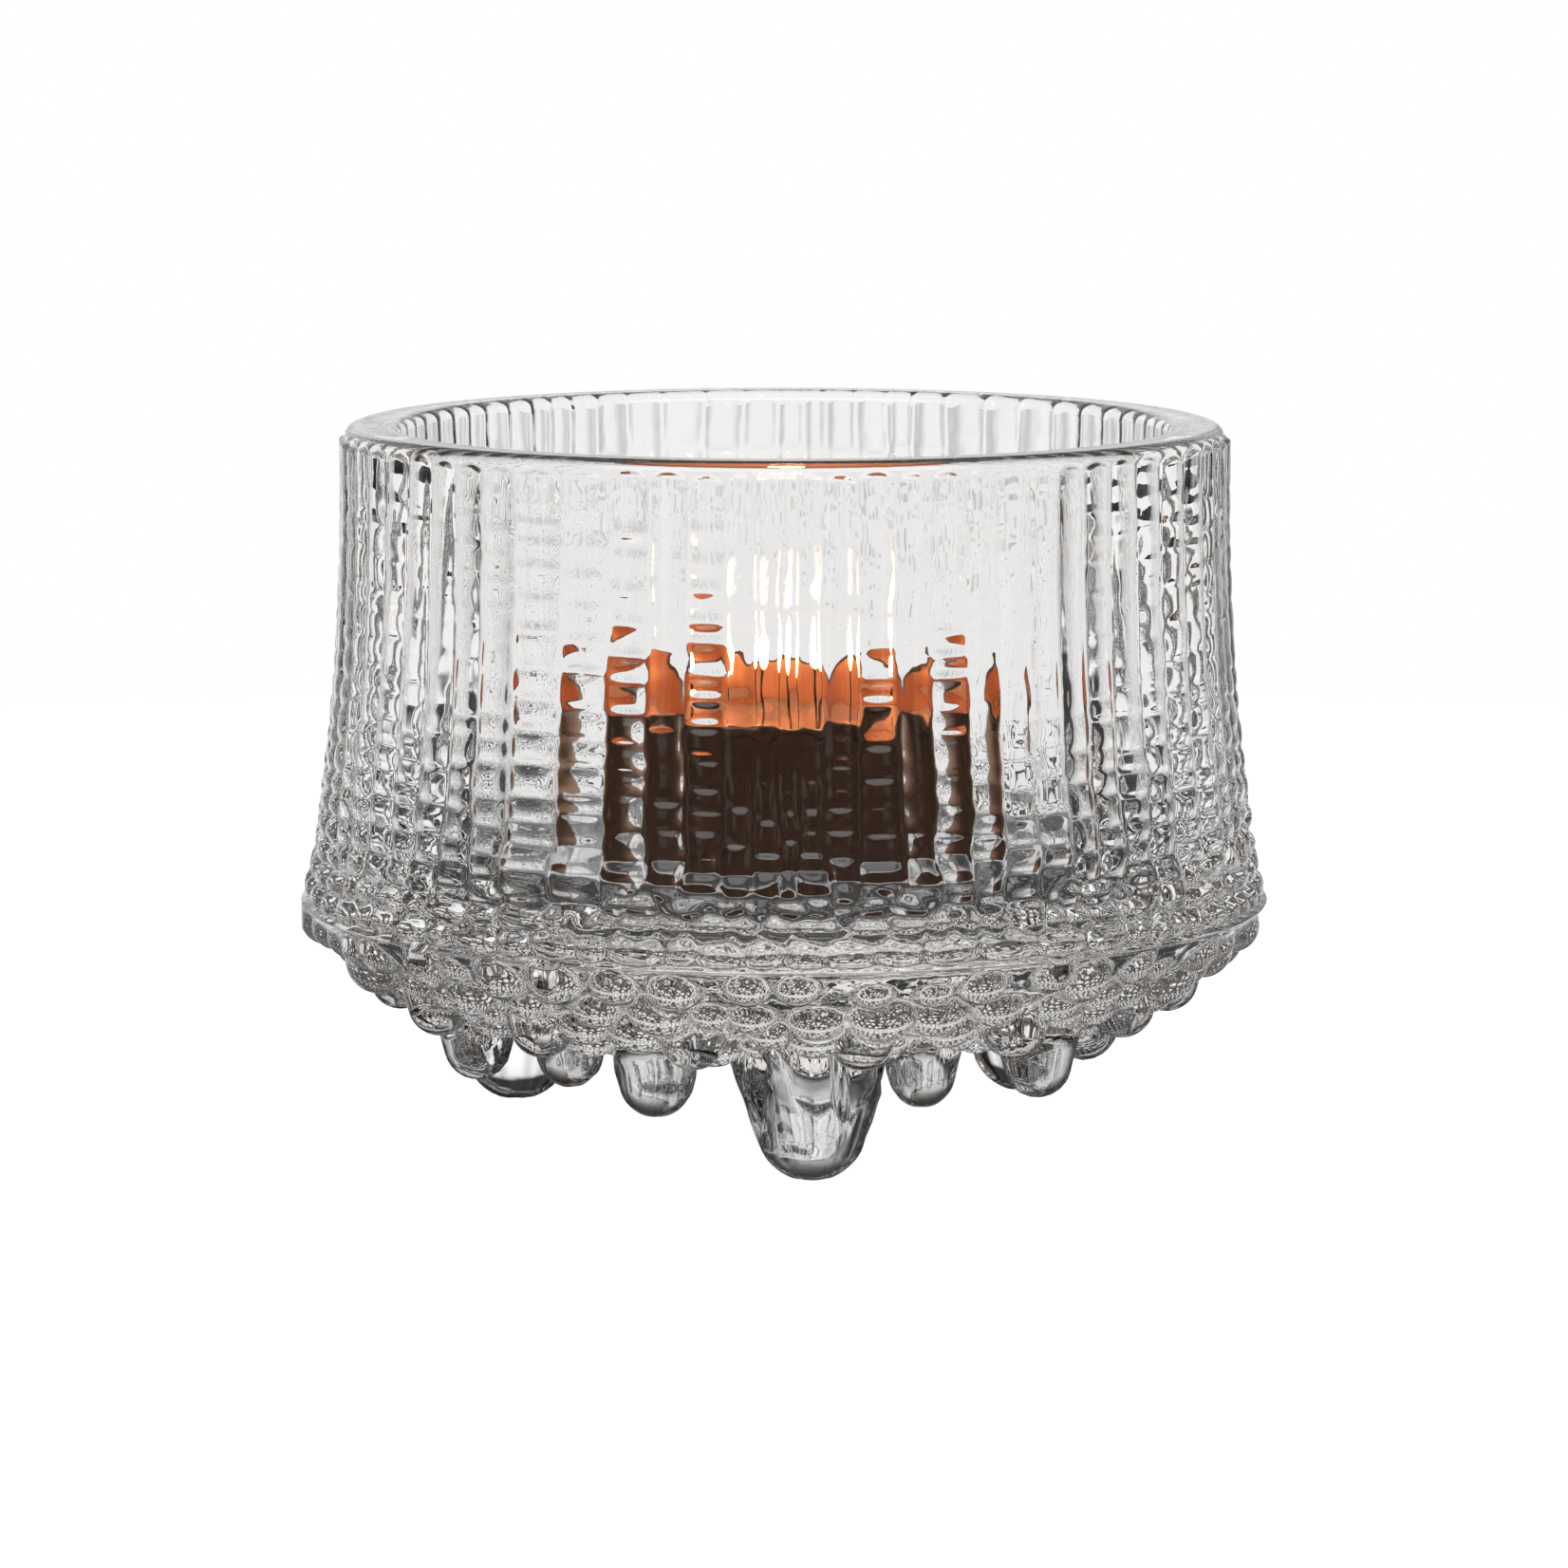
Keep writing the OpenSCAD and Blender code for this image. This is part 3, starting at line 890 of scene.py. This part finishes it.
def build_sustainer(material):
    """Stamped disc with a neck that grips the foot of the wick."""
    low, disc_top, top, rim = DISC_LOW[2], DISC_LOW[2] + 0.3, DISC_HIGH[2], DISC_HIGH[0]
    bore = WICK_R + 0.05
    outline = [(0, disc_top), (bore, disc_top), (bore, top - 0.05), (bore + 0.06, top),
               (NECK_R - 0.08, top), (NECK_R, top - 0.08), (NECK_R, disc_top + 0.25),
               (NECK_R + 0.25, disc_top), (rim - 0.12, disc_top), (rim, disc_top - 0.1),
               (rim, low + 0.1), (rim - 0.12, low), (2, low), (0, low)]
    points, faces = closed_revolve(turned_grid(outline, 96))
    return new_object("wick_sustainer_disc", points, faces, material)


def build_wick(material):
    """Braided cord that bends over a little at its charred tip."""
    low, top = WICK_LOW[2], WICK_HIGH[2]
    rows, columns = 120, 36
    z = np.linspace(top, low, rows)
    a = np.arange(columns) / columns * 2 * np.pi
    turn = (z - low)[:, None] * 1.5
    right_hand = np.abs(np.cos(1.5 * (a[None, :] + turn)))
    left_hand = np.abs(np.cos(1.5 * (a[None, :] - turn)))
    strands = np.maximum(right_hand, left_hand)
    ends = np.sqrt(np.clip(1 - (1 - np.clip((top - z) / 0.5, 0, 1)) ** 2, 0, 1))
    r = (WICK_R - 0.16 + 0.16 * strands) * ends[:, None]
    r[-1] = 0
    lean = 0.9 * np.clip((z - WAX_HIGH[2]) / (top - WAX_HIGH[2]), 0, 1) ** 2
    grid = np.stack([lean[:, None] + r * np.sin(a), -r * np.cos(a), z[:, None] * np.ones(columns)], axis=-1)
    points, faces = closed_revolve(grid)
    return new_object("braided_wick", points, faces, material)


def build_flame(material):
    """Drop of light, widest below its middle, that leans a little to the side."""
    t = np.linspace(0, 1, 28)
    r = FLAME_R * np.sin(np.pi * (1 - t) ** 0.7) ** 0.85 * (1 - 0.2 * (1 - t))
    r[0] = r[-1] = 0
    outline = np.column_stack([r, FLAME_Z + FLAME_H * (1 - t)])
    grid = turned_grid(outline, 32)
    grid[..., 0] += FLAME_LEAN * (1 - t)[:, None]
    points, faces = closed_revolve(grid)
    return new_object("candle_flame", points, faces, material)


# ---------------------------------------------------------------- stage

def stage_floor():
    """Round white table top, small enough that only rays going steeply down through the glass meet it."""
    mesh = bpy.data.meshes.new("studio_floor")
    count = 96
    turns = [2 * math.pi * i / count for i in range(count)]
    ring = [(FLOOR_RADIUS * math.cos(a), FLOOR_RADIUS * math.sin(a), 0) for a in turns]
    mesh.from_pydata(ring, [], [list(range(count))])
    floor = bpy.data.objects.new("studio_floor", mesh)
    bpy.context.scene.collection.objects.link(floor)
    mesh.materials.append(floor_material())


def table_glow_with_painted_shadow(nodes, links):
    """Brightness of the table as the glass shows it: painted dark in front of the holder and under it, as
    painted shadow of the holder, and white behind it.

    Light that goes straight through the glass also finds it white a little way out from the feet.
    """
    back = object_place(nodes, links)["Y"]
    # Painted shadow: the table is dim in front of the holder and under it.
    behind = map_range(nodes, links, back, (0.015, 0.045), (FLOOR_PAINTED_SHADOW, FLOOR_GLOW), smooth=True)
    away = vector_length(nodes, links, nodes.new("ShaderNodeTexCoord").outputs["Object"])
    open_table = map_range(nodes, links, away, (0.055, 0.09), (0, FLOOR_GLOW))
    clear = math_node(nodes, links, "MAXIMUM", behind, open_table)
    return mix_values(nodes, links, straight_through(nodes, links), behind, clear)


def floor_material():
    """White table that glows where the camera sees it, and has its own glow, with a painted shadow of the
    holder in it, where the glass shows it.
    """
    mat, nodes, links, shader = new_material("studio_white")
    shader.inputs["Base Color"].default_value = (0.9, 0.9, 0.9, 1)
    shader.inputs["Roughness"].default_value = 0.9
    shader.inputs["Specular IOR Level"].default_value = 0.0
    shader.inputs["Emission Color"].default_value = (1, 1, 1, 1)
    shader.inputs["Emission Strength"].default_value = FLOOR_GLOW
    dim = nodes.new("ShaderNodeEmission")
    links.new(table_glow_with_painted_shadow(nodes, links), dim.inputs["Strength"])
    path = nodes.new("ShaderNodeLightPath").outputs
    mix = nodes.new("ShaderNodeMixShader")
    links.new(path["Is Camera Ray"], mix.inputs["Fac"])
    links.new(dim.outputs["Emission"], mix.inputs[1])
    links.new(shader.outputs["BSDF"], mix.inputs[2])
    links.new(mix.outputs["Shader"], nodes["Material Output"].inputs["Surface"])
    return mat


def light_ramp(nodes, links, value, table):
    """Brightness read from a table of (angle, brightness) pairs, with straight lines between them."""
    low, high = table[0][0], table[-1][0]
    span = map_range(nodes, links, value, (math.radians(low), math.radians(high)))
    ramp = nodes.new("ShaderNodeValToRGB")
    brightest = max(level for _, level in table)
    stops = ramp.color_ramp.elements
    while len(stops) < len(table):
        stops.new(0.5)
    for stop, (angle, level) in zip(stops, table):
        stop.position = (angle - low) / (high - low)
        stop.color = (level / brightest,) * 3 + (1,)
    links.new(span, ramp.inputs["Fac"])
    return math_node(nodes, links, "MULTIPLY", ramp.outputs["Color"], brightest)


def straight_through(nodes, links):
    """1 for light that has passed through the glass without a reflection, and 0 for the rest."""
    path = nodes.new("ShaderNodeLightPath").outputs
    unmirrored = math_node(nodes, links, "LESS_THAN", path["Glossy Depth"], 0.5)
    return math_node(nodes, links, "MULTIPLY", unmirrored, path["Is Transmission Ray"])


def world_light():
    """Soft studio: bright strips between dark flags all round, and soft boxes in front and overhead."""
    world = bpy.data.worlds.new("studio")
    bpy.context.scene.world = world
    world.use_nodes = True
    nodes, links = world.node_tree.nodes, world.node_tree.links
    coords = nodes.new("ShaderNodeTexCoord")
    split = nodes.new("ShaderNodeSeparateXYZ")
    links.new(coords.outputs["Generated"], split.inputs["Vector"])
    x, y, z = split.outputs
    around = math_node(nodes, links, "ARCTAN2", x, y)
    up = math_node(nodes, links, "ARCSINE", z)
    through = straight_through(nodes, links)
    walls = mix_values(nodes, links, through, light_ramp(nodes, links, around, WALL_LIGHT),
                       light_ramp(nodes, links, around, CLEAR_LIGHT))
    heights = light_ramp(nodes, links, up, HEIGHT_LIGHT)
    light = math_node(nodes, links, "MULTIPLY", walls, heights)
    light = math_node(nodes, links, "ADD", light, light_ramp(nodes, links, up, TOP_LIGHT))
    path = nodes.new("ShaderNodeLightPath").outputs
    outside = math_node(nodes, links, "LESS_THAN", path["Transmission Depth"], 0.5)
    box = math_node(nodes, links, "MULTIPLY", light_ramp(nodes, links, up, FRONT_BOX_HEIGHT),
                    light_ramp(nodes, links, around, FRONT_BOX_WIDTH))
    box = math_node(nodes, links, "MULTIPLY", box, outside)
    light = math_node(nodes, links, "ADD", light, box)
    seen = path["Is Camera Ray"]
    links.new(mix_values(nodes, links, seen, light, 1.0), nodes["Background"].inputs["Strength"])
    nodes["Background"].inputs["Color"].default_value = (1, 1, 1, 1)


def add_camera():
    """Camera in front of the holder and a little above it, as in the photograph."""
    data = bpy.data.cameras.new("camera")
    camera = bpy.data.objects.new("camera", data)
    bpy.context.scene.collection.objects.link(camera)
    data.lens = CAMERA_LENS
    data.sensor_width = 36
    data.clip_start = 0.05
    data.clip_end = 20
    camera.location = CAMERA_PLACE
    camera.rotation_euler = (math.radians(90 - CAMERA_DIP), 0, 0)
    bpy.context.scene.camera = camera


add_camera()
stage_floor()
world_light()
scene = bpy.context.scene
scene.view_settings.view_transform = "Standard"
scene.cycles.max_bounces = 24
scene.cycles.transmission_bounces = 24
scene.cycles.glossy_bounces = 8
scene.cycles.transparent_max_bounces = 8

glass = build_glass(glass_material())
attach(glass, "holder")
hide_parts("glass_holder")

# The cup's inside is lighter than its outside: painted glow of the flame on the inner wall.
cup = build_cup(sheet_material("cup_lacquer", LACQUER, LACQUER_ROUGHNESS),
                sheet_material("cup_inside_copper_with_painted_glow", COPPER_PAINTED_FLAME_GLOW, COPPER_ROUGHNESS),
                sheet_material("cup_bare_base", BARE_METAL, BARE_ROUGHNESS))
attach(cup, "tealight")
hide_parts("tealight_cup")

for piece, node, slot in ((build_wax(wax_material()), "wax", "candle_wax"),
                          (build_sustainer(plain_material("tinplate", TIN, 1.0, TIN_ROUGHNESS)),
                           "wick_sustainer", "tinplate"),
                          (build_wick(wick_material()), "wick", "cotton_wick")):
    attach(piece, "candle")
    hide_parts(node)

flame = build_flame(flame_material())
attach(flame, "candle")
